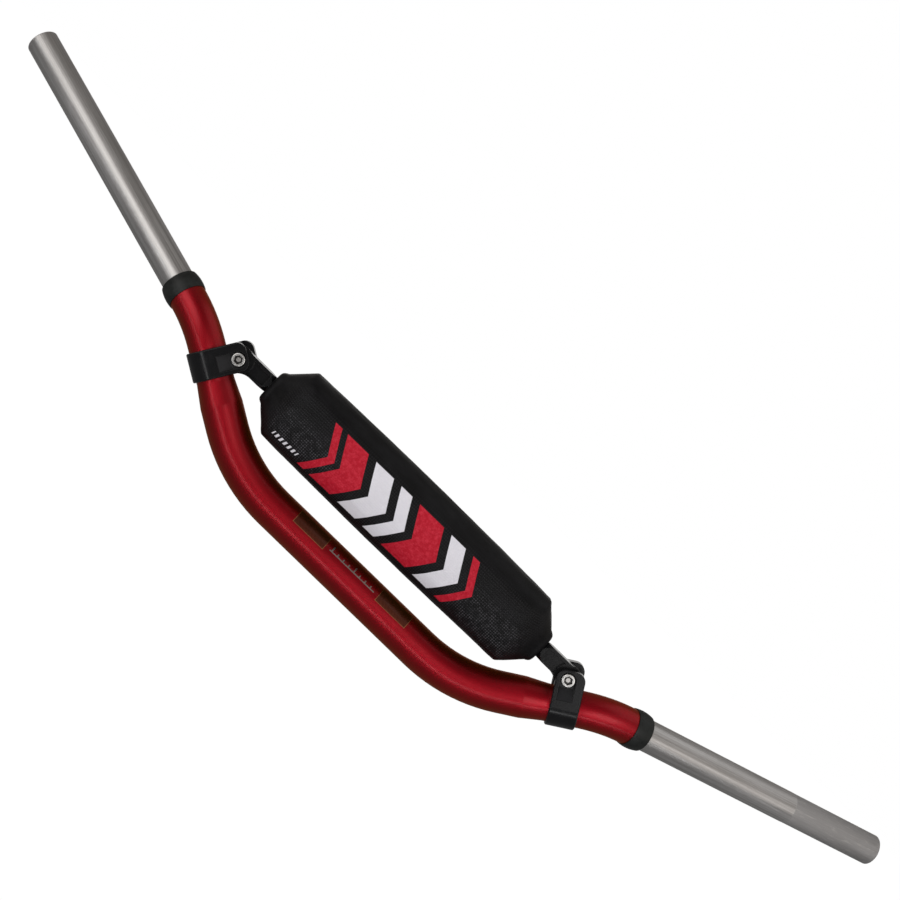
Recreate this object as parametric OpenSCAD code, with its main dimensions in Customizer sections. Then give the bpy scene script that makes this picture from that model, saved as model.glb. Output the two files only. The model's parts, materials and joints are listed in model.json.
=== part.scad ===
// Motocross handlebar: a bent twin-wall bar with a clamped crossbar and its chest pad.
// X runs along the bar and +X is the clutch end. Z rises. Y points back to the rider.
// The origin is the middle of the stretch that the fork clamps hold.

/* [Bar shape] */
// Straight middle of the bar, from the centre to the start of each lower bend
middle_half = 67.5; // [60:0.5:80]
// Radius of the lower bends, at the axis of the bar
lower_bend_r = 112; // [95:1:140]
// Angle of the lower bends
lower_bend_a = 32; // [26:0.5:38]
// Straight riser between the lower and the upper bend
riser_len = 57; // [53:0.5:70]
// Radius of the upper bends, at the axis of the bar
upper_bend_r = 70; // [60:1:100]
// Rise of the grips above level
grip_rise = 13; // [6:0.5:16]
// Backward sweep of the grips
grip_sweep = 22; // [12:0.5:28]
// Straight end of each side, from the upper bend to the end of the bar
grip_len = 225; // [200:1:260]

/* [Outer tube] */
// Outside diameter of the middle
tube_middle_d = 28.6; // [28:0.1:30]
// Outside diameter past the tapers
tube_outer_d = 25.4; // [25:0.1:26]
// Length of each taper
taper_len = 16; // [10:1:20]
// Plain tube left between the taper and the crossbar clamp
taper_gap = 2; // [1:0.5:4]
// Wall in the middle
tube_middle_wall = 2.4; // [1.8:0.1:2.8]

/* [Inner tube] */
// Outside diameter, which is the size of the grips
grip_d = 22.2; // [22:0.1:22.4]
// Wall of the inner tube
inner_wall = 2.6; // [2:0.1:3.4]
// Radial clearance between the inner and the outer tube
tube_fit = 0.05; // [0.03:0.01:0.1]
// Length of the knurled stretch at the clutch end
knurl_len = 80; // [40:1:110]
// Depth that the knurling is cut below the plain tube
knurl_cut = 0.1; // [0.05:0.05:0.3]
// Rounding of the bar ends
end_round = 1; // [0.5:0.1:1.4]

/* [Collars] */
// Where the visible edge of a collar lies past the upper bend
collar_at = 1; // [0.5:0.5:4]
// Length of a collar
collar_len = 13; // [10:0.5:18]
// How much of a collar covers the outer tube
collar_cover = 5; // [3:0.5:7]
// How far the lip of a collar stands out from the outer tube
collar_proud = 1.1; // [0.6:0.1:1.6]
// How far the thin end of a collar stands out from the grip
collar_nose = 0.8; // [0.5:0.1:1.2]
// Radius of the convex barrel of a collar, seen from the side
collar_barrel = 26; // [22:1:60]
// Width of the lip of a collar
collar_lip = 2; // [1:0.1:2.6]
// Depth of the line beside the lip
collar_line = 0.25; // [0.1:0.05:0.4]
// Width of the rib inside a collar, and of its groove in the inner tube
collar_rib = 1.6; // [1.2:0.1:2]
// Depth of that groove
collar_rib_depth = 0.5; // [0.3:0.1:0.8]
// Clearance of the rib at each end of the groove
rib_slip = 0.2; // [0.1:0.05:0.4]
// Radial clearance of a collar on either tube
collar_fit = 0.05; // [0.03:0.01:0.1]

/* [End plugs] */
// Diameter of the flange of a plug
plug_d = 20.8; // [19:0.1:21.6]
// Height of the dome of a plug
plug_dome = 2.2; // [1.4:0.1:3]
// Length of the shank of a plug
plug_shank = 16; // [10:1:24]
// Radial clearance of the barbs of a plug
plug_fit = 0.05; // [0.03:0.01:0.1]
// Barbs on a plug
plug_barbs = 3; // [2:1:4]

/* [Crossbar clamps] */
// Width of a clamp along the bar
clamp_w = 20; // [16:1:24]
// Centre of a clamp, measured back from the start of the upper bend
clamp_back = 13; // [12.5:0.5:16]
// Wall of the strap under the bar
strap_wall = 2; // [1.6:0.1:3]
// Radial clearance of the strap on the bar
strap_fit = 0.05; // [0.03:0.01:0.1]
// Height of the bolt above the axis of the bar
bolt_rise = 19.5; // [19.5:0.5:24]
// How far the bolt lies from the middle of the clamp, towards the middle of the bar
bolt_back = 1.5; // [0:0.5:2]
// Near ear left above the bolt
ear_over = 6.5; // [6:0.5:9]
// How much taller the threaded far ear is
ear_extra = 3.5; // [0:0.5:4.5]
// Corner radius of the ears
ear_round = 6.5; // [3:0.5:7]
// Gap between the ears
ear_gap = 12.9; // [12:0.1:14]
// Chamfer along the outer edges of the strap
strap_edge = 0.7; // [0.3:0.1:1]

/* [Clamp bolts] */
// Diameter of the bolt shank
bolt_d = 6; // [5:0.5:6.5]
// Diameter of the bolt head
bolt_head_d = 9.4; // [9:0.1:10.4]
// Height of the bolt head
bolt_head_h = 3.6; // [3:0.1:4.2]
// Hexagon socket, across its flats
bolt_hex = 5.5; // [4:0.5:5.5]
// Depth of the hexagon socket
bolt_hex_depth = 2.4; // [2:0.1:2.6]
// Radial clearance of the bolt in the near ear and in the eye
bolt_slip = 0.25; // [0.15:0.05:0.4]
// Radial clearance of the bolt in the threaded far ear
bolt_thread_fit = 0.05; // [0.03:0.01:0.1]
// Width of the pocket round the bolt head
pocket_w = 10.8; // [10.6:0.1:12]
// Depth of the pocket at the bolt
pocket_depth = 3.8; // [3:0.1:4.2]
// Run-out of the pocket towards the bar
pocket_run = 14; // [10:0.5:16]

/* [Crossbar] */
// Outside diameter of the crossbar
crossbar_d = 12.7; // [12:0.1:13.4]
// Bore of the crossbar
crossbar_bore = 9; // [8:0.1:9.6]
// Outside diameter of the eye of a lug
eye_d = 18.6; // [17:0.1:19]
// Clearance between the saddle of a lug and the bar
saddle_fit = 0.4; // [0.2:0.1:0.8]
// Clearance between the eye and each ear
eye_slip = 0.1; // [0.05:0.05:0.2]
// From the bolt to the shoulder where a lug meets the crossbar
lug_len = 26; // [23:0.5:34]
// How far the crossbar lies above the bolts
lug_offset = 2; // [0:0.5:3]
// Radius of the fillets between the eye and the arm of a lug
lug_fillet = 12; // [8:1:20]
// Length of the spigot of a lug inside the crossbar
spigot_len = 18; // [12:1:26]
// Radial clearance of the spigot
spigot_fit = 0.05; // [0.03:0.01:0.1]
// Depth of the channel forged in each side of a lug
channel_depth = 2.6; // [1.5:0.1:3.4]
// Rim left beside the channel
channel_rim = 2.6; // [2:0.1:3.4]

/* [Pad] */
// Crossbar left bare between the pad and each lug
pad_end_gap = 0.3; // [0.3:0.1:12]
// Height of the pad
pad_h = 56; // [50:0.5:60]
// Depth of the pad from front to back
pad_depth = 52; // [48:1:60]
// Corner radius of the section of the pad
pad_round = 18; // [14:1:22]
// Length of the folded ends
pad_fold = 18; // [12:1:22]
// How far the folds cut into the height and the depth
pad_fold_in = 14.5; // [8:0.5:16]
// Length of the crown over each folded end
pad_crown = 4; // [2:0.5:6]
// How much the crown narrows
pad_crown_in = 2.5; // [1:0.5:4]
// Thickness of the cover
cover_t = 1.2; // [0.8:0.1:2]
// Clearance round the foam
foam_fit = 0.3; // [0.2:0.05:0.5]
// Width of the closing flap at the back
flap_w = 24; // [20:1:26]
// From the end of the pad to the closing flap
flap_end = 24; // [22:1:36]
// Thickness of each half of the touch fastener
tape_t = 1.2; // [0.8:0.1:1.6]
// Width of the touch fastener
tape_w = 18; // [14:1:20]

/* [Hidden] */
$fn = 96;
lap = 0.5;      // how far one solid or cut runs into the next
seam = 0.01;    // extra radius of the bends, so that no two faces lie in one another

middle_r = tube_middle_d/2;
outer_r = tube_outer_d/2;
grip_r = grip_d/2;
inner_bore_r = grip_r - inner_wall;
outer_bore_r = grip_r + tube_fit;
middle_bore_r = middle_r - tube_middle_wall;

// Direction of a grip, then its bend and roll as seen from the end of the riser
grip_dir = [cos(grip_rise)*cos(grip_sweep), cos(grip_rise)*sin(grip_sweep), sin(grip_rise)];
grip_out = grip_dir[0]*cos(lower_bend_a) + grip_dir[2]*sin(lower_bend_a);
grip_up = grip_dir[2]*cos(lower_bend_a) - grip_dir[0]*sin(lower_bend_a);
upper_bend_a = acos(grip_out);
upper_bend_roll = atan2(-grip_dir[1], grip_up);

clamp_at = riser_len - clamp_back;
taper_end = clamp_at - clamp_w/2 - taper_gap;
taper_start = taper_end - taper_len;

// Bolt centre in the frame of the whole bar
bolt_at = clamp_at - bolt_back;
bolt_x = middle_half + lower_bend_r*sin(lower_bend_a) + bolt_at*cos(lower_bend_a)
    - bolt_rise*sin(lower_bend_a);
bolt_z = lower_bend_r*(1 - cos(lower_bend_a)) + bolt_at*sin(lower_bend_a)
    + bolt_rise*cos(lower_bend_a);

crossbar_z = bolt_z + lug_offset;

strap_bore_r = outer_r + strap_fit;
strap_r = strap_bore_r + strap_wall;
ear_top = bolt_rise + ear_over;
bolt_r = bolt_d/2;
head_seat = strap_r - pocket_depth;
bolt_end = -strap_r + 0.5;

eye_t = ear_gap - 2*eye_slip;
crossbar_r = crossbar_d/2;
crossbar_half = bolt_x - lug_len;
pad_len = 2*(crossbar_half - pad_end_gap);
flap_len = pad_len - 2*flap_end;

// The clutch side as modelled, and the throttle side as its mirror image
module other_side() { mirror([1, 0, 0]) children(); }
module both_sides() { children(); other_side() children(); }

// Local frames along one side of the bar: z runs out along the tube and x is its upper side
module at_middle_end() { rotate([180, -90, 0]) translate([0, 0, middle_half]) children(); }
module past_bend(r, a) { translate([r, 0, 0]) rotate([0, a, 0]) translate([-r, 0, 0]) children(); }
module at_riser() { at_middle_end() past_bend(lower_bend_r, lower_bend_a) children(); }
module at_upper_bend() {
    at_riser() translate([0, 0, riser_len]) rotate([0, 0, upper_bend_roll]) children();
}
module at_grip() { at_upper_bend() past_bend(upper_bend_r, upper_bend_a) children(); }
module at_clamp() { at_riser() translate([0, 0, clamp_at]) children(); }
module at_bar_end() { at_grip() translate([0, 0, grip_len]) children(); }

// A bend of round section that starts along z and curves towards +x
module bend(r, bend_radius, a) {
    translate([bend_radius, 0, 0]) rotate([90, 0, 180])
        rotate_extrude(angle = a) translate([bend_radius, 0]) circle(r + seam);
}

// Profile of the first and of the last end of a straight stretch that meets a bend at z
function start_seam(r, z) = [[0, z - 4*seam], [r - seam, z - 4*seam], [r + 3*seam, z], [r, z + 3*seam]];
function end_seam(r, z) = [[r, z - 3*seam], [r + 3*seam, z], [r - seam, z + 4*seam], [0, z + 4*seam]];

// The middle stretch and both lower bends
module middle_run(r) {
    rotate([0, 90, 0]) rotate_extrude()
        polygon(concat(start_seam(r, -middle_half), end_seam(r, middle_half)));
    both_sides() at_middle_end() bend(r, lower_bend_r, lower_bend_a);
}

// The riser with its taper, from one radius to a smaller one
module riser_run(r_low, r_high) {
    at_riser() rotate_extrude() polygon(concat(start_seam(r_low, 0),
        [[r_low, taper_start], [r_high, taper_end]], end_seam(r_high, riser_len)));
}

// The upper bend
module upper_run(r) { at_upper_bend() bend(r, upper_bend_r, upper_bend_a); }

// The first stretch past the upper bend
module grip_run(r, len) {
    at_grip() rotate_extrude() polygon(concat(start_seam(r, 0), [[r, len], [0, len]]));
}

module outer_tube() {
    tube_end = collar_at + collar_cover;
    color("firebrick") difference() {
        union() {
            middle_run(middle_r);
            both_sides() {
                riser_run(middle_r, outer_r);
                upper_run(outer_r);
                grip_run(outer_r, tube_end);
            }
        }
        middle_run(middle_bore_r);
        both_sides() {
            riser_run(middle_bore_r, outer_bore_r);
            upper_run(outer_bore_r);
            grip_run(outer_bore_r, tube_end + lap);
        }
    }
}

// One grip of the inner tube: grooved for the rib of its collar, plain or cut down where it is
// knurled, with a rounded end
module grip_solid(knurled) {
    knurl_start = grip_len - knurl_len;
    end_r = grip_r - (knurled ? knurl_cut : 0);
    groove_end = collar_at + collar_len + rib_slip;
    groove_r = grip_r - collar_rib_depth;
    at_grip() rotate_extrude() {
        polygon(concat(start_seam(grip_r, 0), [[grip_r, groove_end - collar_rib - 2*rib_slip],
            [groove_r, groove_end - collar_rib - 2*rib_slip], [groove_r, groove_end],
            [grip_r, groove_end], [grip_r, knurl_start], [end_r, knurl_start],
            [end_r, grip_len - end_round], [end_r - end_round, grip_len], [0, grip_len]]));
        intersection() {
            translate([end_r - end_round, grip_len - end_round]) circle(end_round);
            translate([end_r - 1.5*end_round, grip_len - 1.5*end_round]) square(2*end_round);
        }
    }
}

module inner_tube() {
    color("silver") difference() {
        union() {
            middle_run(grip_r);
            both_sides() {
                riser_run(grip_r, grip_r);
                upper_run(grip_r);
            }
            grip_solid(true);
            other_side() grip_solid(false);
        }
        middle_run(inner_bore_r);
        both_sides() {
            riser_run(inner_bore_r, inner_bore_r);
            upper_run(inner_bore_r);
            grip_run(inner_bore_r, grip_len + lap);
        }
    }
}

// A moulded collar over the step from the outer tube down to the grip
module collar() {
    lip_r = outer_r + collar_proud;
    far = collar_at + collar_len;
    mid = collar_at + 0.4*collar_len;
    nose = collar_nose;
    nose_r = lip_r - collar_barrel + sqrt(pow(collar_barrel, 2) - pow(far - nose - mid, 2));
    rib_r = grip_r - collar_rib_depth + collar_fit;
    color("#1c1f20") at_grip() rotate_extrude() difference() {
        union() {
            intersection() {
                translate([lip_r - collar_barrel, mid]) circle(collar_barrel, $fn = 4*$fn);
                translate([0, collar_at]) square([lip_r + lap, collar_len - nose]);
            }
            translate([0, far - nose - lap]) square([nose_r - nose, nose + lap]);
            intersection() {
                translate([nose_r - nose, far - nose]) circle(nose);
                translate([nose_r - nose - lap, far - nose - lap]) square(nose + 2*lap);
            }
        }
        translate([lip_r - collar_line + collar_line*2, collar_at + collar_lip]) circle(2*collar_line);
        translate([0, collar_at - lap]) square([outer_r + collar_fit, collar_cover + 2*lap]);
        square([rib_r, far + lap]);
        square([grip_r + collar_fit, far - collar_rib]);
    }
}

// A domed plug with barbs, pushed into the end of the inner tube
module end_plug() {
    flange_r = plug_d/2;
    barb_r = inner_bore_r - plug_fit;
    core_r = barb_r - 1.3;
    dome_r = (flange_r*flange_r + plug_dome*plug_dome)/(2*plug_dome);
    barb_pitch = plug_shank/(plug_barbs + 0.5);
    color("#17181a") at_bar_end() {
        rotate_extrude() {
            intersection() {
                translate([0, plug_dome - dome_r]) circle(dome_r);
                square([flange_r, plug_dome]);
            }
            translate([0, -plug_shank]) square([core_r, plug_shank + lap]);
            for (i = [0:plug_barbs - 1]) translate([0, -plug_shank + i*barb_pitch + 1])
                polygon([[0, 0], [core_r, 0], [barb_r, 2.4], [barb_r, 3], [0, 3]]);
        }
    }
}

// One ear of a clamp up to a height, on the front when side is 1 and on the back when it is -1
module clamp_ear(top, side) {
    half_w = clamp_w/2;
    difference() {
        rotate([90, 0, 90]) linear_extrude(top) polygon([[-side*lap, -half_w],
            [side*(strap_r - strap_edge), -half_w], [side*strap_r, strap_edge - half_w],
            [side*strap_r, half_w - strap_edge], [side*(strap_r - strap_edge), half_w],
            [-side*lap, half_w]]);
        // rounded upper corners
        for (s = [-1, 1]) translate([top, 0, s*half_w]) difference() {
            translate([-ear_round, -strap_r - lap, s > 0 ? -ear_round : -lap])
                cube([ear_round + lap, 2*(strap_r + lap), ear_round + lap]);
            translate([-ear_round, 0, -s*ear_round]) rotate([90, 0, 0])
                cylinder(h = 2*(strap_r + 2*lap), r = ear_round, center = true);
        }
    }
}

// A strap that wraps the bar, with two thick ears for the lug of the crossbar.
// Local x points up through the ears, y to the front and z along the bar.
module clamp_strap() {
    half_w = clamp_w/2;
    far_top = ear_top + ear_extra;
    color("#15171a") at_clamp() difference() {
        union() {
            rotate_extrude() polygon([[0, -half_w], [strap_r - strap_edge, -half_w],
                [strap_r, strap_edge - half_w], [strap_r, half_w - strap_edge],
                [strap_r - strap_edge, half_w], [0, half_w]]);
            clamp_ear(ear_top, 1);
            clamp_ear(far_top, -1);
        }
        cylinder(h = clamp_w + 2*lap, r = strap_bore_r, center = true);
        translate([0, -ear_gap/2, -half_w - lap]) cube([far_top + lap, ear_gap, clamp_w + 2*lap]);
        translate([bolt_rise, 0, -bolt_back]) {
            // clearance hole through the near ear and threaded hole in the far ear
            rotate([-90, 0, 0]) cylinder(h = strap_r + lap, r = bolt_r + bolt_slip);
            rotate([90, 0, 0]) cylinder(h = strap_r + lap, r = bolt_r + bolt_thread_fit);
            // pocket round the bolt head, which runs out towards the bar
            translate([0, head_seat, 0]) rotate([-90, 0, 0])
                cylinder(h = pocket_depth + lap, r = pocket_w/2);
            translate([0, 0, -pocket_w/2]) linear_extrude(pocket_w) polygon([[0, head_seat],
                [0, strap_r + lap], [-pocket_run, strap_r + lap], [-pocket_run, strap_r],
                [-pocket_w/2, head_seat]]);
        }
    }
}

// A socket-head bolt, which passes the near ear and the eye and threads into the far ear
module clamp_bolt() {
    head_r = bolt_head_d/2;
    edge = 0.8;
    color("#d9dadc") at_clamp() translate([bolt_rise, head_seat, -bolt_back]) rotate([-90, 0, 0])
    difference() {
        union() {
            rotate_extrude() {
                square([head_r, bolt_head_h - edge]);
                square([head_r - edge, bolt_head_h]);
                intersection() {
                    translate([head_r - edge, bolt_head_h - edge]) circle(edge);
                    square([head_r, bolt_head_h]);
                }
            }
            translate([0, 0, bolt_end - head_seat]) cylinder(h = head_seat - bolt_end + lap, r = bolt_r);
        }
        translate([0, 0, bolt_head_h - bolt_hex_depth])
            cylinder(h = bolt_hex_depth + lap, r = bolt_hex/sqrt(3), $fn = 6);
    }
}

module crossbar_tube() {
    color("#18191b") rotate([0, 90, 0]) translate([-crossbar_z, 0, 0]) difference() {
        cylinder(h = 2*crossbar_half, r = crossbar_r, center = true);
        cylinder(h = 2*(crossbar_half + lap), r = crossbar_bore/2, center = true);
    }
}

// Fill between the eye of a lug and one edge of its arm, up when side is 1 and down when it is -1
module lug_web(side) {
    edge = crossbar_r + side*lug_offset;
    up = edge + lug_fillet;
    back = sqrt(max(1, pow(eye_d/2 + lug_fillet, 2) - up*up));
    difference() {
        polygon([[0, 0], [-back, side*up], [-back, 0]]);
        translate([-back, side*up]) circle(lug_fillet);
    }
}

// A forged lug: an eye between the ears of the clamp, then a channelled arm down to the crossbar.
// It is drawn about its bolt, with the arm along -x.
module lug() {
    eye_r = eye_d/2;
    arm_end = -lug_len;
    root = -eye_r + 2;
    spigot_r = crossbar_bore/2 - spigot_fit;
    channel_h = crossbar_r - channel_rim;
    color("#16181b") translate([bolt_x, 0, bolt_z]) difference() {
        union() {
            rotate([90, 0, 0]) cylinder(h = eye_t, r = eye_r, center = true);
            intersection() {
                rotate([90, 0, 0]) translate([0, 0, -eye_t/2]) linear_extrude(eye_t) {
                    translate([arm_end, lug_offset - crossbar_r]) square([lug_len, 2*crossbar_r]);
                    lug_web(1);
                    lug_web(-1);
                }
                translate([0, 0, lug_offset]) rotate([0, -90, 0])
                    cylinder(h = lug_len, r1 = eye_r + 9, r2 = crossbar_r);
            }
            translate([0, 0, lug_offset]) rotate([0, -90, 0])
                cylinder(h = lug_len + spigot_len, r = spigot_r);
        }
        rotate([90, 0, 0]) cylinder(h = eye_t + 2*lap, r = bolt_r + bolt_slip, center = true);
        // saddle that clears the bar under the eye
        rotate([0, 90 - lower_bend_a, 0]) translate([bolt_rise, 0, 0])
            cylinder(h = 3*eye_d, r = outer_r + saddle_fit, center = true);
        // channel in the front and the back of the arm
        for (s = [0, 180]) rotate([s, 0, 0]) translate([0, -eye_t/2 - lap, 0]) rotate([-90, 0, 0])
            linear_extrude(channel_depth + lap) scale([1, s == 0 ? -1 : 1]) difference() {
                polygon([[root, lug_offset/2 - channel_h - 1.4], [root, lug_offset/2 + channel_h + 1.4],
                    [arm_end + 3, lug_offset + channel_h], [arm_end + 3, lug_offset - channel_h]]);
                circle(eye_r + 0.8);
            }
    }
}

// Body of the pad drawn in by an amount on every side: a rounded section with folded ends
module pad_body(inset) {
    half_len = pad_len/2 - inset;
    half_h = pad_h/2 - inset;
    half_d = pad_depth/2 - inset;
    corner = pad_round - inset;
    fold_h = half_h - pad_fold_in;
    fold_d = half_d - pad_fold_in;
    intersection() {
        rotate([0, 90, 0]) translate([0, 0, -half_len]) linear_extrude(2*half_len) {
            square([2*half_h, 2*(half_d - corner)], center = true);
            square([2*(half_h - corner), 2*half_d], center = true);
            for (a = [-1, 1], b = [-1, 1])
                translate([a*(half_h - corner), b*(half_d - corner)]) circle(corner);
        }
        rotate([90, 0, 0]) translate([0, 0, -half_d - 1]) linear_extrude(2*half_d + 2)
            pad_outline(half_len, half_h, fold_h);
        translate([0, 0, -half_h - 1]) linear_extrude(2*half_h + 2)
            pad_outline(half_len, half_d, fold_d);
    }
}
module pad_outline(len, full, narrow) {
    shoulder = len - pad_fold;
    corner = len - pad_crown;
    tip = max(narrow - pad_crown_in, crossbar_r + 2);
    half = [[len, tip], [corner, narrow], [shoulder, full]];
    polygon(concat(half, [for (i = [2:-1:0]) [-half[i][0], half[i][1]]],
        [for (i = [0:2]) -half[i]], [for (i = [2:-1:0]) [half[i][0], -half[i][1]]]));
}
module at_pad() { translate([0, 0, crossbar_z]) children(); }

module pad_foam() {
    color("#2b2b2d") at_pad() difference() {
        pad_body(cover_t + foam_fit);
        rotate([0, 90, 0]) cylinder(h = pad_len, r = crossbar_r + foam_fit, center = true);
    }
}

// The cover wraps the foam and folds its flap over the touch fastener at the back
module pad_cover() {
    back = pad_depth/2;
    hole_r = crossbar_r + foam_fit;
    color("#1b1b1e") at_pad() difference() {
        union() {
            difference() {
                pad_body(0);
                pad_body(cover_t);
            }
            translate([-flap_len/2, back + 2*tape_t, -flap_w/2]) cube([flap_len, cover_t, flap_w]);
            translate([-flap_len/2, back - cover_t, -flap_w/2])
                cube([flap_len, 2*tape_t + 2*cover_t, cover_t]);
        }
        rotate([0, 90, 0]) cylinder(h = pad_len + 2*lap, r = hole_r, center = true);
    }
}

// The two halves of the touch fastener lie between the cover and its flap
module tape(layer) {
    translate([-flap_len/2 + 2, pad_depth/2 + layer*tape_t, -tape_w/2])
        cube([flap_len - 4, tape_t, tape_w]);
}
module pad_loop_tape() { color("#242426") at_pad() tape(0); }
module pad_hook_tape() { color("#101012") at_pad() tape(1); }

outer_tube();
inner_tube();
other_side() collar();  // throttle_collar
collar();  // clutch_collar
other_side() end_plug();  // throttle_end_plug
end_plug();  // clutch_end_plug
other_side() clamp_strap();  // throttle_clamp
clamp_strap();  // clutch_clamp
other_side() clamp_bolt();  // throttle_clamp_bolt
clamp_bolt();  // clutch_clamp_bolt
crossbar_tube();
other_side() lug();  // throttle_lug
lug();  // clutch_lug
pad_foam();
pad_cover();
pad_loop_tape();
pad_hook_tape();
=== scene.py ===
import bpy, bmesh, json, math
from mathutils import Matrix, Vector, kdtree, noise


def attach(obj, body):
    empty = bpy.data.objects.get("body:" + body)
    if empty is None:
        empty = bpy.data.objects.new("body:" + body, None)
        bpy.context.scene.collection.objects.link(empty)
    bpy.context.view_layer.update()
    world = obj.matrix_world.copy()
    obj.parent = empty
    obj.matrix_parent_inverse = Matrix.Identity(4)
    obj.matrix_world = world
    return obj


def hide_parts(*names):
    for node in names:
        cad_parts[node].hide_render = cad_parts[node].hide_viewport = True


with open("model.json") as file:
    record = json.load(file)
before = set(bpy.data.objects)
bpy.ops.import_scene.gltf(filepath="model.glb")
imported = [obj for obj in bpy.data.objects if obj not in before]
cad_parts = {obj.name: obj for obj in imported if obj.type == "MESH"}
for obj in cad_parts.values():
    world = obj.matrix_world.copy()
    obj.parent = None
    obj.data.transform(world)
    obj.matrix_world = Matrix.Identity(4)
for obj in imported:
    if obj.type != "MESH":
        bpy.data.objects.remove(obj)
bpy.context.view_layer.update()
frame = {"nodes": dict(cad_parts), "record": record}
scene = bpy.context.scene
scene.view_settings.view_transform = "Standard"

MM = 0.001
# Sizes and places that part.scad holds too, in millimetres
BOLT = Vector((152.560, 0, 56.077))     # on the axis of the bolt at the clutch side
BOLT_FACE = -14.55                      # front of its head
EAR_FACE = -14.75                       # front of a clamp's ear
POCKET_W = 10.8                         # width of the pocket in that ear
RISER = math.radians(32)                # slope of the tube under a clamp
PAD_Z = 58.077                          # height of the crossbar's axis
PAD_HALF = 126.26                       # half the length of the pad
PAD_HALF_H = 28.0                       # half its height
PAD_HALF_D = 26.0                       # half its depth
PAD_FOLD = 18.0                         # length of each folded end
PAD_FOLD_IN = 14.5                      # how far an end folds in
PAD_CROWN = 4.0                         # length of the crown on each end
PAD_CROWN_IN = 2.5                      # how far a crown rounds in
HOLE_R = 6.65                           # hole for the crossbar
GRIP_FROM = Vector((205.423, 6.301, 60.255))        # where the clutch grip starts
GRIP_DIR = Vector((0.903420, 0.365005, 0.224951))   # which way it runs
GRIP_LEN = 225.0
KNURL_LEN = 80.0


# Node trees

class Nodes:
    """A node tree. Each method adds a node and returns its output."""

    def __init__(self, owner):
        owner.use_nodes = True
        self.tree = owner.node_tree

    def new(self, kind, **inputs):
        node = self.tree.nodes.new(kind)
        for key, value in inputs.items():
            self.join(node.inputs[key.replace("_", " ")], value)
        return node

    def join(self, socket, value):
        if isinstance(value, bpy.types.NodeSocket):
            self.tree.links.new(value, socket)
        elif value is not None:
            socket.default_value = value

    def split(self, vector):
        node = self.new("ShaderNodeSeparateXYZ", Vector=vector)
        return list(node.outputs)

    def vector(self, x, y, z):
        return self.new("ShaderNodeCombineXYZ", X=x, Y=y, Z=z).outputs[0]

    def math(self, op, a, b=None, clamp=False):
        node = self.new("ShaderNodeMath")
        node.operation = op
        node.use_clamp = clamp
        self.join(node.inputs[0], a)
        self.join(node.inputs[1], b)
        return node.outputs[0]

    def add(self, a, b):
        return self.math("ADD", a, b)

    def sub(self, a, b):
        return self.math("SUBTRACT", a, b)

    def mul(self, a, b):
        return self.math("MULTIPLY", a, b)

    def absolute(self, value):
        return self.math("ABSOLUTE", value)

    def zigzag(self, value, peak):
        """Rises from 0 to peak and falls back, over and over."""
        return self.math("PINGPONG", value, peak)

    def both(self, *values):
        out = values[0]
        for value in values[1:]:
            out = self.mul(out, value)
        return out

    def either(self, *values):
        out = values[0]
        for value in values[1:]:
            out = self.math("MAXIMUM", out, value)
        return out

    def ramp(self, value, low, high, to_low=0.0, to_high=1.0):
        """Smooth step of value from low to high."""
        node = self.new("ShaderNodeMapRange")
        node.interpolation_type = "SMOOTHSTEP"
        if low > high:
            low, high, to_low, to_high = high, low, to_high, to_low
        for i, v in enumerate((value, low, high, to_low, to_high)):
            self.join(node.inputs[i], v)
        return node.outputs[0]

    def inside(self, value, low, high, soft):
        """1 between low and high, and 0 past them."""
        return self.mul(self.ramp(value, low - soft, low + soft), self.ramp(value, high + soft, high - soft))

    def steps(self, value, stops):
        """Warm grey whose level follows stops, pairs of a value from -1 to 1 and a level."""
        node = self.new("ShaderNodeValToRGB")
        node.color_ramp.interpolation = "EASE"
        scaled = self.new("ShaderNodeMapRange", Value=value)
        scaled.inputs[1].default_value = -1.0
        scaled.inputs[2].default_value = 1.0
        self.join(node.inputs[0], scaled.outputs[0])
        while len(node.color_ramp.elements) < len(stops):
            node.color_ramp.elements.new(0.5)
        for element, (place, level) in zip(node.color_ramp.elements, stops):
            element.position = (place + 1) / 2
            element.color = (level, level * 0.98, level * 0.96, 1)
        return node.outputs[0]

    def noise(self, vector, scale, detail=3.0, rough=0.55):
        node = self.new("ShaderNodeTexNoise", Vector=vector, Scale=scale, Detail=detail, Roughness=rough)
        return node.outputs["Fac"]

    def cells(self, vector, scale, randomness=1.0):
        node = self.new("ShaderNodeTexVoronoi", Vector=vector, Scale=scale, Randomness=randomness)
        return node.outputs["Distance"]

    def mix(self, fac, a, b, kind="MIX"):
        node = self.new("ShaderNodeMix")
        node.data_type = "RGBA"
        node.blend_type = kind
        self.join(node.inputs["Factor"], fac)
        for socket, value in ((node.inputs[6], a), (node.inputs[7], b)):
            self.join(socket, (*value, 1.0) if isinstance(value, tuple) else value)
        return node.outputs[2]

    def blend(self, fac, first, second):
        """Two shaders mixed."""
        node = self.new("ShaderNodeMixShader")
        for i, value in enumerate((fac, first, second)):
            self.join(node.inputs[i], value)
        return node.outputs[0]

    def background(self, colour):
        return self.new("ShaderNodeBackground", Color=colour).outputs[0]


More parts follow.
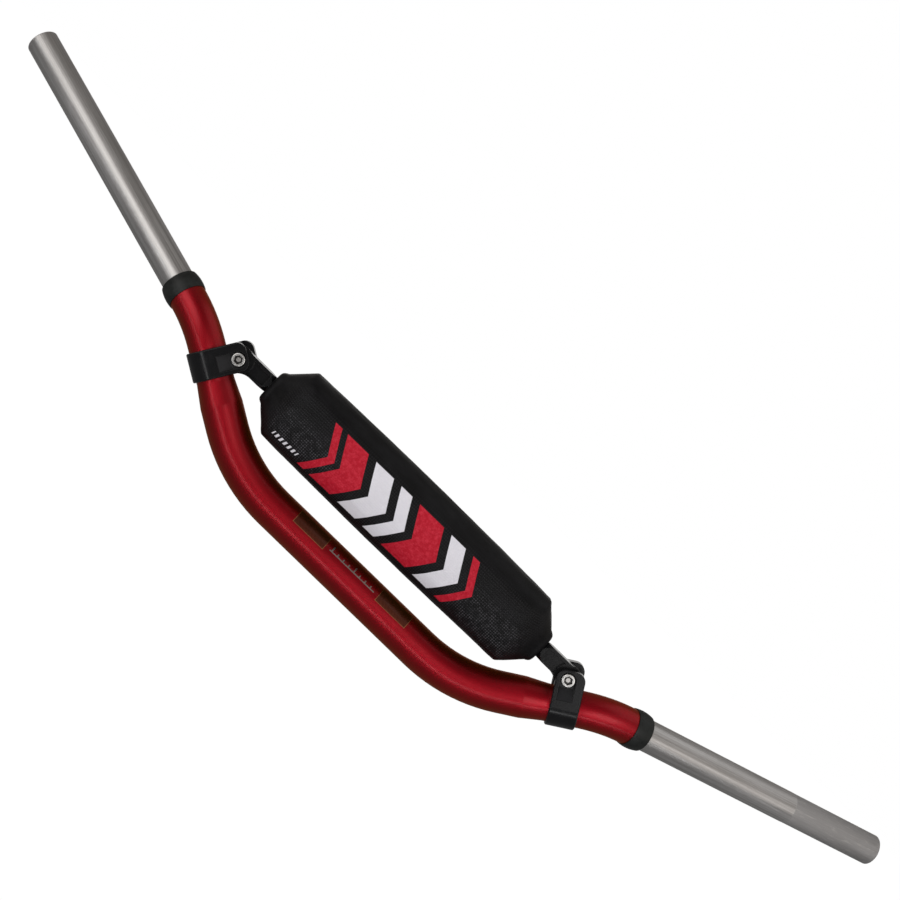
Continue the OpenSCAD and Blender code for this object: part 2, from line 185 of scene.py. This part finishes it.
class Shade(Nodes):
    """The nodes of one procedural material."""

    def __init__(self, name, **values):
        self.mat = bpy.data.materials.new(name)
        super().__init__(self.mat)
        self.bsdf = self.tree.nodes["Principled BSDF"]
        for key, value in values.items():
            self.to(key.replace("_", " "), value)

    def to(self, key, value):
        self.join(self.bsdf.inputs[key], value)

    def coords(self):
        return self.new("ShaderNodeTexCoord").outputs["Object"]

    def millimetres(self, coords):
        return [self.mul(value, 1 / MM) for value in self.split(coords)]

    def worn_edge(self, radius):
        """Normals rounded over sharp edges, so that they catch the light."""
        node = self.new("ShaderNodeBevel", Radius=radius)
        node.samples = 6
        return node.outputs[0]

    def bump(self, height, distance, strength=1.0, before=None):
        node = self.new("ShaderNodeBump", Height=height, Distance=distance, Strength=strength, Normal=before)
        return node.outputs[0]


# Materials

# The centring scale on the middle of the bar: degrees round the tube from its front, and millimetres
SCALE_HALF = 60.0               # half the length of the stretch that it lies in
SCALE_MIDDLE = -1.5             # where its own middle lies
FILM = (24.5, 51.0)             # each hatched film, from and to
FILM_ROUND = (20.0, 66.0)
BORDER = 0.4                    # width of the border of a film
RULER_HALF = 20.35


def centring_scale(s, colour, x, angle):
    """Two hatched films, and a silver ruler between them."""
    at_middle = s.ramp(s.absolute(x), SCALE_HALF, SCALE_HALF - 1)
    off = s.absolute(s.sub(x, SCALE_MIDDLE))
    film = s.both(s.inside(angle, *FILM_ROUND, 0.8), s.inside(off, *FILM, 0.15), at_middle)
    hatch = s.ramp(s.zigzag(s.add(s.mul(angle, 0.25), x), 0.7), 0.28, 0.42)
    border = s.both(s.inside(angle, FILM_ROUND[0] - 1, FILM_ROUND[1] + 1, 0.8),
                    s.inside(off, FILM[0] - BORDER, FILM[1] + BORDER, 0.15), at_middle)
    border = s.math("SUBTRACT", border, film, clamp=True)
    colour = s.mix(s.mul(film, 0.82), colour, s.mix(hatch, (0.075, 0.028, 0.012), (0.14, 0.06, 0.03)))
    colour = s.mix(s.mul(border, 0.85), colour, (0.46, 0.24, 0.10))
    tick = s.ramp(s.zigzag(x, 2.5), 0.55, 0.4)
    long_tick = s.ramp(s.zigzag(x, 10.0), 0.6, 0.45)
    ruler = s.either(s.both(tick, s.inside(angle, 34.0, 42.0, 0.6)),
                     s.both(long_tick, s.inside(angle, 34.0, 52.0, 0.6)),
                     s.inside(angle, 31.0, 34.5, 0.6))
    ruler = s.both(ruler, s.ramp(off, RULER_HALF + 0.15, RULER_HALF - 0.15), at_middle)
    return s.mix(s.mul(ruler, 0.9), colour, (0.42, 0.40, 0.37))


def red_anodised():
    s = Shade("red_anodised", Metallic=1.0, Coat_Weight=0.42, Coat_Roughness=0.25,
              Specular_Tint=(0.42, 0.22, 0.02, 1.0), Sheen_Weight=0.15, Sheen_Roughness=0.5,
              Sheen_Tint=(0.75, 0.34, 0.0, 1.0))
    coords = s.coords()
    x, y, z = s.split(coords)
    cloud = s.noise(coords, 9.0)
    grain = s.noise(s.vector(s.mul(x, 0.25), y, z), 900.0, 2.0)
    colour = s.mix(cloud, (0.34, 0.001, 0.007), (0.45, 0.002, 0.018))
    colour = s.mix(s.mul(grain, 0.25), colour, (0.25, 0.001, 0.004))
    angle = s.mul(s.math("ARCTAN2", z, s.mul(y, -1.0)), 180 / math.pi)
    s.to("Base Color", centring_scale(s, colour, s.mul(x, 1 / MM), angle))
    s.to("Roughness", s.ramp(s.noise(coords, 60.0, 4.0), 0.3, 0.7, 0.38, 0.46))
    s.to("Normal", s.bump(grain, 0.00002, 0.15, s.worn_edge(0.005)))
    return s.mat


def grip_coords(s, coords):
    """Millimetres along a grip and across it, alike on both sides of the bar."""
    x, y, z = s.split(coords)
    x = s.absolute(x)
    side = GRIP_DIR.cross(Vector((0, 0, 1))).normalized()
    rise = side.cross(GRIP_DIR)
    out = []
    for axis in (GRIP_DIR, side, rise):
        total = s.add(s.add(s.mul(x, axis.x / MM), s.mul(y, axis.y / MM)), s.mul(z, axis.z / MM))
        out.append(s.sub(total, GRIP_FROM.dot(axis)))
    return out


KNURL_SLOPE = 0.8       # of its grooves along the grip
KNURL_ROUND = 11.1      # of its grooves round the grip, which is the radius of the grip
KNURL_PEAK = 0.45


def bare_aluminium():
    s = Shade("bare_aluminium", Metallic=1.0, Anisotropic=0.35)
    coords = s.coords()
    x = s.split(coords)[0]
    along, side, rise = grip_coords(s, coords)

    def drawn_out(stretch):
        return s.vector(s.mul(along, stretch), side, rise)

    streaks = s.noise(drawn_out(0.012), 0.9, 5.0, 0.62)
    fine = s.noise(drawn_out(0.05), 4.2, 3.0, 0.6)
    cloud = s.noise(drawn_out(0.3), 0.11)
    colour = s.mix(s.ramp(streaks, 0.32, 0.68), (0.50, 0.485, 0.475), (0.74, 0.73, 0.725))
    colour = s.mix(s.mul(s.ramp(fine, 0.35, 0.7), 0.4), colour, (0.44, 0.43, 0.425))
    colour = s.mix(s.mul(cloud, 0.3), colour, (0.52, 0.50, 0.49))
    # diamond knurling past the step at the clutch end
    knurl_from = GRIP_LEN - KNURL_LEN
    knurled = s.mul(s.ramp(along, knurl_from, knurl_from + 0.4), s.math("GREATER_THAN", x, 0.0))
    turn = s.mul(s.math("ARCTAN2", side, rise), KNURL_ROUND)
    one = s.zigzag(s.add(turn, s.mul(along, KNURL_SLOPE)), KNURL_PEAK)
    two = s.zigzag(s.sub(turn, s.mul(along, KNURL_SLOPE)), KNURL_PEAK)
    diamonds = s.both(s.ramp(one, 0.0, 0.3), s.ramp(two, 0.0, 0.3))
    patches = s.noise(drawn_out(0.1), 0.6, 4.0, 0.7)
    worn = s.mul(knurled, s.ramp(patches, 0.56, 0.66))
    colour = s.mix(s.mul(knurled, 0.5), colour, (0.34, 0.335, 0.34))
    colour = s.mix(s.both(knurled, diamonds, 0.35), colour, (0.68, 0.67, 0.68))
    s.to("Base Color", s.mix(s.mul(worn, 0.45), colour, (0.74, 0.72, 0.70)))
    rough = s.ramp(streaks, 0.3, 0.7, 0.35, 0.46)
    s.to("Roughness", s.add(rough, s.mul(knurled, 0.12)))
    brushed = s.bump(fine, 0.00003, 0.5)
    s.to("Normal", s.bump(s.mul(knurled, diamonds), 0.00012, 0.8, brushed))
    return s.mat


def black_rubber():
    s = Shade("black_rubber", Specular_IOR_Level=0.35)
    coords = s.coords()
    dust = s.noise(coords, 140.0, 5.0, 0.6)
    s.to("Base Color", s.mix(s.ramp(dust, 0.35, 0.75), (0.006, 0.007, 0.0065), (0.014, 0.016, 0.015)))
    s.to("Roughness", s.ramp(dust, 0.3, 0.7, 0.38, 0.52))
    s.to("Normal", s.bump(s.noise(coords, 2600.0, 2.0), 0.00004, 0.4))
    return s.mat


def from_bolt(s, coords):
    """Millimetres from the axis of the near bolt, outwards and up, and millimetres along Y."""
    x, y, z = s.millimetres(coords)
    return s.sub(s.absolute(x), BOLT.x), s.sub(z, BOLT.z), y


POCKET_DEEP = 3.9       # deepest point of the pocket in a clamp's ear
POCKET_END = -14.5      # how far it reaches down from the bolt


def black_forging():
    s = Shade("black_forging", Specular_IOR_Level=0.3)
    coords = s.coords()
    cloud = s.noise(coords, 70.0, 4.0)
    peel = s.noise(coords, 700.0, 2.0)
    # the pocket round each bolt head is rougher, the rough skin of the forging, and its colour is painted
    # lighter: painted light that lifts its floor out of its dark reflection and shade to the ear's level
    outwards, up, y = from_bolt(s, coords)
    across = s.add(s.mul(outwards, math.cos(RISER)), s.mul(up, math.sin(RISER)))
    above = s.sub(s.mul(up, math.cos(RISER)), s.mul(outwards, math.sin(RISER)))
    pocket_half = POCKET_W / 2 - 0.25
    pocket = s.both(s.inside(y, EAR_FACE + 0.1, EAR_FACE + POCKET_DEEP, 0.06),
                    s.inside(across, -pocket_half, pocket_half, 0.2),
                    s.ramp(above, POCKET_END - 0.5, POCKET_END + 0.5))
    colour = s.mix(cloud, (0.003, 0.003, 0.0035), (0.008, 0.008, 0.009))
    # painted light: the pocket's floor is painted lighter than the rest of the forging
    s.to("Base Color", s.mix(pocket, colour, (0.015, 0.015, 0.017)))
    s.to("Roughness", s.add(s.ramp(cloud, 0.3, 0.7, 0.16, 0.24), s.mul(pocket, 0.12)))
    s.to("Normal", s.bump(peel, 0.00005, 0.3, s.worn_edge(0.0005)))
    return s.mat


def zinc_steel():
    s = Shade("zinc_steel", Metallic=1.0)
    coords = s.coords()
    spots = s.noise(coords, 900.0)
    # painted shade in the hexagon socket, which leaves the middle of its bottom the colour of the bare metal
    outwards, up, y = from_bolt(s, coords)
    radius = s.math("SQRT", s.add(s.mul(outwards, outwards), s.mul(up, up)))
    depth = s.sub(y, BOLT_FACE)
    socket = s.both(s.ramp(depth, 0.15, 0.7), s.ramp(radius, 3.35, 3.1), s.ramp(depth, 3.4, 3.2))
    bottom = s.both(s.ramp(depth, 2.1, 2.3), s.ramp(radius, 1.7, 1.3))
    colour = s.mix(spots, (0.56, 0.55, 0.53), (0.78, 0.77, 0.76))
    # painted shade: the socket's walls and the edge of its bottom painted nearly black
    colour = s.mix(s.mul(socket, 0.93), colour, (0.020, 0.018, 0.017))
    s.to("Base Color", s.mix(bottom, colour, (0.62, 0.60, 0.58)))
    s.to("Roughness", s.ramp(spots, 0.3, 0.7, 0.24, 0.34))
    s.to("Normal", s.bump(spots, 0.00002, 0.4, s.worn_edge(0.0003)))
    return s.mat


# The print on the front of the pad, in millimetres along it from its middle
PAD_TURN = math.radians(12)     # the wrap sits turned a little down about the crossbar
RED_CHEVRONS = ((-66.0, -60.0), (-55.0, -36.0), (11.0, 33.0), (60.0, 66.0))
WHITE_CHEVRONS = ((-29.0, -13.0), (-6.0, 4.0), (40.0, 53.0))
CHEVRON_LEAN = 0.62
CHEVRON_HALF_H = 19.1
BARS = (-98.0, -76.4)           # the row of short bars, from and to
BARS_LOW, BARS_HIGH = -15.8, -12.6
BARS_LEAN = 0.35
BEAD_PITCH = 1.62


def pad_vinyl():
    s = Shade("pad_vinyl", Specular_IOR_Level=0.16)
    coords = s.coords()
    x, y, z = s.split(coords)
    u, dy, height_mm = s.millimetres(coords)
    dz = s.sub(height_mm, PAD_Z)
    front = s.add(s.mul(dy, -math.cos(PAD_TURN)), s.mul(dz, -math.sin(PAD_TURN)))
    v = s.sub(s.mul(dz, math.cos(PAD_TURN)), s.mul(dy, math.sin(PAD_TURN)))
    facing = s.ramp(front, 4.0, 9.0)
    # embossed beads on the front panel, which fade towards the folds
    beads = s.cells(s.vector(s.mul(u, 1 / BEAD_PITCH), s.mul(v, 1 / BEAD_PITCH), 0.0), 1.0, 0.12)
    panel = s.both(facing, s.ramp(s.absolute(u), 119.0, 104.0), s.ramp(s.absolute(v), 25.0, 17.0))
    height = s.mul(s.ramp(beads, 0.50, 0.10), panel)
    # painted highlights: the tops of the beads are painted lighter, most in two zones near the ends, as
    # glints of light on them
    bead_glints = s.either(s.both(s.inside(u, -108.0, -58.0, 12.0), s.inside(v, -17.0, 6.0, 7.0)),
                      s.both(s.inside(u, 58.0, 112.0, 12.0), s.inside(v, -20.0, 6.0, 7.0)))
    bead_glints = s.mul(bead_glints, s.ramp(s.noise(coords, 260.0, 3.0, 0.7), 0.40, 0.62))
    leather = s.noise(coords, 1500.0, 3.0, 0.6)
    creases = s.noise(s.vector(s.mul(x, 0.5), y, z), 90.0, 4.0, 0.6)
    # generic print: chevrons in red and white, and a row of short bars
    lean = s.add(u, s.mul(s.absolute(v), CHEVRON_LEAN))
    tall = s.ramp(s.absolute(v), CHEVRON_HALF_H + 0.2, CHEVRON_HALF_H - 0.2)
    slant = s.sub(u, s.mul(v, BARS_LEAN))
    bars = s.both(s.inside(slant, *BARS, 0.1), s.inside(v, BARS_LOW, BARS_HIGH, 0.1),
                  s.ramp(s.zigzag(s.sub(slant, BARS[0]), 1.8), 1.0, 0.8))
    red, white = (s.either(*(s.inside(lean, low, high, 0.15) for low, high in chevrons))
                  for chevrons in (RED_CHEVRONS, WHITE_CHEVRONS))
    red = s.both(red, tall, facing)
    white = s.both(s.either(s.mul(white, tall), bars), facing)
    ink = s.either(red, white)
    mottle = s.noise(coords, 420.0, 4.0, 0.7)
    base = s.mix(s.ramp(creases, 0.35, 0.7), (0.0036, 0.0034, 0.0038), (0.0068, 0.0066, 0.0076))
    # painted highlights on the bead tops, faint all over the panel and stronger in the glint zones
    base = s.mix(s.mul(height, s.add(s.mul(bead_glints, 0.8), 0.12)), base, (0.078, 0.074, 0.082))
    red_ink = s.mix(s.ramp(mottle, 0.35, 0.75), (0.46, 0.005, 0.020), (0.60, 0.026, 0.050))
    white_ink = s.mix(mottle, (0.72, 0.70, 0.76), (0.82, 0.80, 0.85))
    s.to("Base Color", s.mix(white, s.mix(red, base, red_ink), white_ink))
    s.to("Roughness", s.add(s.ramp(leather, 0.3, 0.7, 0.40, 0.50), s.mul(ink, 0.12)))
    skin = s.bump(leather, 0.00005, 0.3)
    skin = s.bump(creases, 0.0006, 0.25, skin)
    s.to("Normal", s.bump(s.mul(height, s.ramp(ink, 0.0, 1.0, 1.0, 0.35)), 0.00028, 0.9, skin))
    return s.mat


def touch_fastener():
    s = Shade("touch_fastener", Sheen_Weight=0.4, Sheen_Roughness=0.6, Roughness=0.9)
    loops = s.cells(s.coords(), 1400.0)
    s.to("Base Color", s.mix(loops, (0.006, 0.006, 0.007), (0.030, 0.030, 0.032)))
    s.to("Normal", s.bump(loops, 0.0004, 0.9))
    return s.mat


# Mesh helpers

def new_piece(name, verts, faces, material, smooth=True):
    """A piece on the body root, from vertices in millimetres."""
    mesh = bpy.data.meshes.new(name)
    mesh.from_pydata([tuple(v * MM for v in p) for p in verts], [], faces)
    bm = bmesh.new()
    bm.from_mesh(mesh)
    bmesh.ops.recalc_face_normals(bm, faces=bm.faces)
    bm.to_mesh(mesh)
    bm.free()
    if smooth:
        mesh.shade_smooth()
    obj = bpy.data.objects.new(name, mesh)
    scene.collection.objects.link(obj)
    mesh.materials.append(material)
    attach(obj, "root")
    return obj


def skin_over(rings, closed):
    """Vertices and quads over rings of equal count, joined end to end if closed."""
    n, m = len(rings), len(rings[0])
    faces = []
    for i in range(n if closed else n - 1):
        here, there = i * m, (i + 1) % n * m
        faces += [(here + j, here + (j + 1) % m, there + (j + 1) % m, there + j) for j in range(m)]
    return [p for ring in rings for p in ring], faces


def spaced(start, step, count):
    return [start + step * i for i in range(count)]


# The pad

PAD_SIDES = 192                 # points round the pad's skin
MAIN_POWER = 3.0                # of the superellipse that its sections follow
TUNNEL_XS = (110, 60, 0, -60, -110)
CORNER = PAD_HALF - PAD_CROWN   # where each folded end meets its crown
SHOULDER = PAD_HALF - PAD_FOLD  # where the fold starts
NARROW_H = PAD_HALF_H - PAD_FOLD_IN
NARROW_D = PAD_HALF_D - PAD_FOLD_IN


def pad_section(x, half_h, half_d, power, wrinkle=0.0):
    """One ring of the skin, a superellipse that wrinkles by up to about 1.5 times the given amount."""
    ring = []
    for k in range(PAD_SIDES):
        a = 2 * math.pi * k / PAD_SIDES
        c, s = math.cos(a), math.sin(a)
        r = (abs(c / half_d) ** power + abs(s / half_h) ** power) ** (-1 / power)
        y, z = -r * c, r * s
        if wrinkle:
            n = noise.noise(Vector((x * 0.05, y * 0.16, z * 0.16)))
            n += 0.5 * noise.noise(Vector((x * 0.11 + 7, y * 0.35, z * 0.35)))
            r += n * wrinkle
            y, z = -r * c, r * s
        ring.append((x, y, z + PAD_Z))
    return ring


def round_section(x, r):
    return pad_section(x, r, r, 2.0)


def fold(x, start, rounding):
    """How far a face has folded in at x, from 0 to 1, with a rounded crease where it starts."""
    t = (abs(x) - start) / (CORNER - start)
    if t < -rounding:
        return 0.0
    return t if t > rounding else (t + rounding) ** 2 / (4 * rounding)


def body_section(x):
    near_end = min(1.0, max(0.0, (abs(x) - 80) / 40))
    over, across = fold(x, SHOULDER, 0.07), fold(x, SHOULDER - 4, 0.30)
    full = 1.0 - 0.012 * (abs(x) / PAD_HALF) ** 2
    return pad_section(x, PAD_HALF_H * full + (NARROW_H - PAD_HALF_H * full) * over,
                       PAD_HALF_D * full + (NARROW_D - PAD_HALF_D * full) * across,
                       MAIN_POWER + 1.2 * over, 0.22 + 0.3 * near_end * (1 - over))


def end_sections(sign):
    """The crown of one end, its flat face and the edge of the hole in it."""
    rings = []
    tip_h, tip_d = NARROW_H - PAD_CROWN_IN, NARROW_D - PAD_CROWN_IN
    for x, t, power in ((1.3, 0.25, 4.1), (2.5, 0.55, 3.9), (3.3, 0.85, 3.6), (3.8, 1.25, 3.2)):
        rings.append(pad_section(sign * (CORNER + x), NARROW_H - PAD_CROWN_IN * t,
                                 NARROW_D - PAD_CROWN_IN * t, power, 0.12))
    rim = HOLE_R + 0.3
    for x, t in ((PAD_HALF - 0.04, 0.4), (PAD_HALF, 0.7), (PAD_HALF, 0.92)):
        half_h, half_d = (tip * (1 - t) + rim * t for tip in (tip_h, tip_d))
        rings.append(pad_section(sign * x, half_h, half_d, 3.2 - 1.2 * t))
    for inwards, r in ((0.3, HOLE_R + 0.12), (1.0, HOLE_R), (4.0, HOLE_R)):
        rings.append(round_section(sign * (PAD_HALF - inwards), r))
    return rings


def make_pad(material):
    stations = spaced(0, 1.5, int((SHOULDER - 3) / 1.5) + 1)
    stations += spaced(SHOULDER - 2, 0.4, 11)
    stations += spaced(SHOULDER + 3, 0.8, int((CORNER - SHOULDER - 4) / 0.8) + 1)
    stations += [CORNER - 0.5, CORNER]
    stations = [-x for x in reversed(stations[1:])] + stations
    rings = [body_section(x) for x in stations] + end_sections(1)
    rings += [round_section(x, HOLE_R) for x in TUNNEL_XS] + list(reversed(end_sections(-1)))
    verts, faces = skin_over(rings, closed=True)
    obj = new_piece("pad_wrap", verts, faces, material)
    settle(obj)
    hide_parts("pad_foam", "pad_cover")


# Swell of the cover, in metres
VOXEL = 0.005           # of the coarse copy that is simulated
SWELL_MAX = 0.0016
HOLE_HELD = 0.0095      # what lies nearer to the crossbar's axis stays where it is
ENDS_HELD = 0.003
FLAP_HELD = 0.018       # half the height of the stretch of the back that stays under the flap
PRESSURE = 4
FRAMES = 20
NEIGHBOURS = 8          # points of the coarse copy that each point of the skin follows
BLUR = 4e-6             # added to each squared gap to them, in square metres


def off_axis(p):
    return math.hypot(p.y, p.z - PAD_Z * MM)


def stays(p):
    at_end = abs(p.x) > PAD_HALF * MM - ENDS_HELD
    under_flap = p.y > 0.6 * PAD_HALF_D * MM and abs(p.z - PAD_Z * MM) < FLAP_HELD
    return off_axis(p) < HOLE_HELD or at_end or under_flap


def coarse_copy(obj):
    coarse = bpy.data.objects.new("coarse", obj.data.copy())
    scene.collection.objects.link(coarse)
    voxels = coarse.modifiers.new("voxels", "REMESH")
    voxels.mode = "VOXEL"
    voxels.voxel_size = VOXEL
    mesh = bpy.data.meshes.new_from_object(coarse.evaluated_get(bpy.context.evaluated_depsgraph_get()))
    coarse.modifiers.clear()
    coarse.data = mesh
    return coarse


def settle(obj):
    """The cover swells over the foam: cloth on a coarse copy, whose movement the fine skin takes over."""
    coarse = coarse_copy(obj)
    start = [v.co.copy() for v in coarse.data.vertices]
    held = coarse.vertex_groups.new(name="held")
    held.add([i for i, p in enumerate(start) if stays(p)], 1.0, "REPLACE")
    cloth = coarse.modifiers.new("cloth", "CLOTH")
    cloth.settings.use_pressure = True
    cloth.settings.uniform_pressure_force = PRESSURE
    cloth.settings.effector_weights.gravity = 0
    cloth.settings.vertex_group_mass = "held"
    cloth.point_cache.frame_start = 1
    cloth.point_cache.frame_end = FRAMES
    for step in range(1, FRAMES + 1):
        scene.frame_set(step)
    swollen = coarse.evaluated_get(bpy.context.evaluated_depsgraph_get()).to_mesh()
    moves = []
    for a, v in zip(start, swollen.vertices):
        move = v.co - a
        moves.append(move * min(1.0, SWELL_MAX / max(move.length, 1e-9)))
    near = kdtree.KDTree(len(start))
    for i, p in enumerate(start):
        near.insert(p, i)
    near.balance()
    for v in obj.data.vertices:
        if off_axis(v.co) < HOLE_HELD:
            continue
        total, move = 0.0, Vector((0, 0, 0))
        for _, i, gap in near.find_n(v.co, NEIGHBOURS):
            weight = 1 / (gap * gap + BLUR)
            total += weight
            move += weight * moves[i]
        v.co += move / total
    print("cover swelled by up to", max(m.length for m in moves))
    bpy.data.objects.remove(coarse)
    scene.frame_set(1)


# The flap on the back of the pad, with the touch fastener under it

FLAP_HALF = PAD_HALF - 24
FASTENER_HALF = FLAP_HALF - 2
FASTENER_HALF_H = 9
LOOPS = (0.15, 1.2)             # from and to, above the back of the pad
HOOKS = (1.25, 2.35)
FLAP_TOP = 3.5
FLAP_UNDER = 2.4
# The hem along the lower edge of the flap: height on the pad, and distance above its back
HEM = ((-11.2, 3.3), (-12.2, 2.6), (-12.8, 1.4), (-13.0, 0.1), (-11.9, 0.1), (-11.7, 1.2), (-11.2, 2.0),
       (-10.3, 2.35))


def strip(name, half_len, profile, material):
    """A long strip, from a closed profile of heights on the pad and distances above its back."""
    section = [(z, back_of(z) + out) for z, out in profile]
    rings = [[(x, y, z + PAD_Z) for z, y in section] for x in spaced(-half_len, 2 * half_len / 80, 81)]
    verts, faces = skin_over(rings, closed=False)
    m, last = len(section), (len(rings) - 1) * len(section)
    faces.append(tuple(range(m)))
    faces.append(tuple(last + j for j in reversed(range(m))))
    obj = new_piece(name, verts, faces, material, smooth=False)
    bevel = obj.modifiers.new("edges", "BEVEL")
    bevel.width = 0.25 * MM
    bevel.segments = 2
    bevel.limit_method = "ANGLE"
    return obj


def back_of(z):
    """How far the back of the pad lies from its axis at height z."""
    return PAD_HALF_D * (1 - abs(z / PAD_HALF_H) ** MAIN_POWER) ** (1 / MAIN_POWER)


def layer(low, high):
    """Profile of one half of the fastener."""
    zs = spaced(-FASTENER_HALF_H, 2 * FASTENER_HALF_H / 10, 11)
    return [(z, high) for z in zs] + [(z, low) for z in reversed(zs)]


def make_flap(material, fuzz):
    loop = strip("pad_fastener_loops", FASTENER_HALF, layer(*LOOPS), fuzz)
    hook = strip("pad_fastener_hooks", FASTENER_HALF, layer(*HOOKS), fuzz)
    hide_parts("pad_loop_tape")
    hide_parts("pad_hook_tape")
    over = [(z, FLAP_TOP) for z in range(12, -11, -2)]
    under = [(z, FLAP_UNDER) for z in range(-8, 13, 2)]
    flap = strip("pad_flap", FLAP_HALF, over + list(HEM) + under, material)


# Materials on the carried nodes

MATERIALS = {
    "red_anodised": red_anodised(), "bare_aluminium": bare_aluminium(), "black_rubber": black_rubber(),
    "black_forging": black_forging(), "zinc_steel": zinc_steel(), "pad_vinyl": pad_vinyl(),
    "touch_fastener": touch_fastener(),
}
MATERIALS["pad_foam"] = MATERIALS["touch_fastener"]
for part in frame["record"]["subparts"]:
    node = frame["nodes"][part["node"]]
    node.data.materials.clear()
    node.data.materials.append(MATERIALS[part["material_slot"]])

make_pad(MATERIALS["pad_vinyl"])
make_flap(MATERIALS["pad_vinyl"], MATERIALS["touch_fastener"])


# Camera, at the photograph's viewing angle

PICTURE = 900           # pixels across the picture
FOCAL = 2241.6          # focal length in pixels
SENSOR = 36.0
DISTANCE = 1500         # from the origin to the camera, in millimetres along the view
SHIFT = (69.547, 86.015)
YAW, PITCH, ROLL = (math.radians(a) for a in (-2.8628, -2.9795, 44.468))


def make_camera():
    turned = Matrix.Rotation(YAW, 3, "Z") @ Matrix.Rotation(PITCH, 3, "X")
    right, ahead, up = (turned @ Vector(axis) for axis in ((1, 0, 0), (0, 1, 0), (0, 0, 1)))
    cam_x = math.cos(ROLL) * right + math.sin(ROLL) * up
    cam_y = -math.sin(ROLL) * right + math.cos(ROLL) * up
    eye = (-ahead * DISTANCE + cam_x * SHIFT[0] + cam_y * SHIFT[1]) * MM
    data = bpy.data.cameras.new("camera")
    data.sensor_width = SENSOR
    data.lens = FOCAL / PICTURE * SENSOR
    data.clip_start = 0.05
    data.clip_end = 50.0
    camera = bpy.data.objects.new("camera", data)
    camera.matrix_world = Matrix.Translation(eye) @ Matrix((cam_x, cam_y, -ahead)).transposed().to_4x4()
    scene.collection.objects.link(camera)
    scene.camera = camera


# Floor, surroundings and lights

FLOOR_Z = -0.4
FLOOR_HALF = 12


def make_floor():
    """A pale matt floor that the camera sees as nearly white, with the object's shadow left on it."""
    mesh = bpy.data.meshes.new("floor")
    corners = [(x * FLOOR_HALF, y * FLOOR_HALF, FLOOR_Z) for x, y in ((-1, -1), (1, -1), (1, 1), (-1, 1))]
    mesh.from_pydata(corners, [], [(0, 1, 2, 3)])
    floor = bpy.data.objects.new("floor", mesh)
    scene.collection.objects.link(floor)
    ground = bpy.data.materials.new("floor")
    s = Nodes(ground)
    s.tree.nodes.clear()
    path = s.new("ShaderNodeLightPath").outputs
    seen = s.mul(path["Is Camera Ray"], 0.74)
    share = s.add(seen, s.mul(path["Is Glossy Ray"], 0.05))
    tone = s.mix(path["Is Glossy Ray"], (0.36, 0.36, 0.36), (0.16, 0.16, 0.16))
    matt = s.new("ShaderNodeBsdfDiffuse", Color=tone).outputs[0]
    glow = s.new("ShaderNodeEmission", Strength=1.29).outputs[0]
    s.new("ShaderNodeOutputMaterial", Surface=s.blend(share, matt, glow))
    mesh.materials.append(ground)


def make_surroundings():
    """White to the camera and a pale room to matt surfaces. Metal mirrors a studio with a dim ceiling."""
    world = bpy.data.worlds.new("studio")
    scene.world = world
    s = Nodes(world)
    s.tree.nodes.clear()
    path = s.new("ShaderNodeLightPath").outputs
    x, y, z = s.split(s.new("ShaderNodeTexCoord").outputs["Generated"])
    height = s.steps(z, ((-1.0, 0.15), (-0.6, 0.26), (-0.15, 0.85), (0.2, 0.76), (0.55, 0.36), (1.0, 0.26)))
    depth = s.steps(y, ((-0.75, 1.0), (0.0, 0.75), (0.6, 0.50), (1.0, 0.45)))
    # the dark gap between the two softboxes, where the camera stands
    gap = s.steps(x, ((-0.55, 1.0), (-0.28, 0.30), (0.0, 0.28), (0.22, 1.0)))
    open_side = s.steps(y, ((-0.8, 0.0), (-0.2, 1.0)))
    # the white backdrop straight behind the object
    behind = s.steps(y, ((0.92, 0.0), (1.0, 1.0)))
    softboxes = s.mix(1.0, height, depth, "MULTIPLY")
    studio = s.mix(1.0, softboxes, s.mix(1.0, gap, open_side, "LIGHTEN"), "MULTIPLY")
    studio = s.mix(1.0, studio, behind, "LIGHTEN")
    room = s.background((0.62, 0.61, 0.60, 1))
    white = s.background((1, 1, 1, 1))
    unlit = s.blend(path["Is Glossy Ray"], room, s.background(studio))
    seen = s.math("MAXIMUM", path["Is Camera Ray"], path["Is Transmission Ray"])
    s.new("ShaderNodeOutputWorld", Surface=s.blend(seen, unlit, white))


LIT = Vector((0, 0, 0.04))      # what every light points at


def softbox(name, place, width, height, power):
    data = bpy.data.lights.new(name, "AREA")
    data.shape = "RECTANGLE"
    data.size = width
    data.size_y = height
    data.energy = power
    obj = bpy.data.objects.new(name, data)
    obj.location = place
    obj.rotation_mode = "QUATERNION"
    obj.rotation_quaternion = (LIT - Vector(place)).to_track_quat("-Z", "Y")
    scene.collection.objects.link(obj)


make_camera()
make_floor()
make_surroundings()
softbox("key", (-1.45, -1.75, 0.40), 1.7, 1.5, 9.5)
softbox("fill", (0.95, -1.95, 0.30), 1.0, 1.1, 6)
softbox("strip", (0, -0.75, -0.33), 2.6, 0.08, 2.4)
softbox("rim", (0.5, -0.1, 1.5), 1.6, 1.2, 2.5)
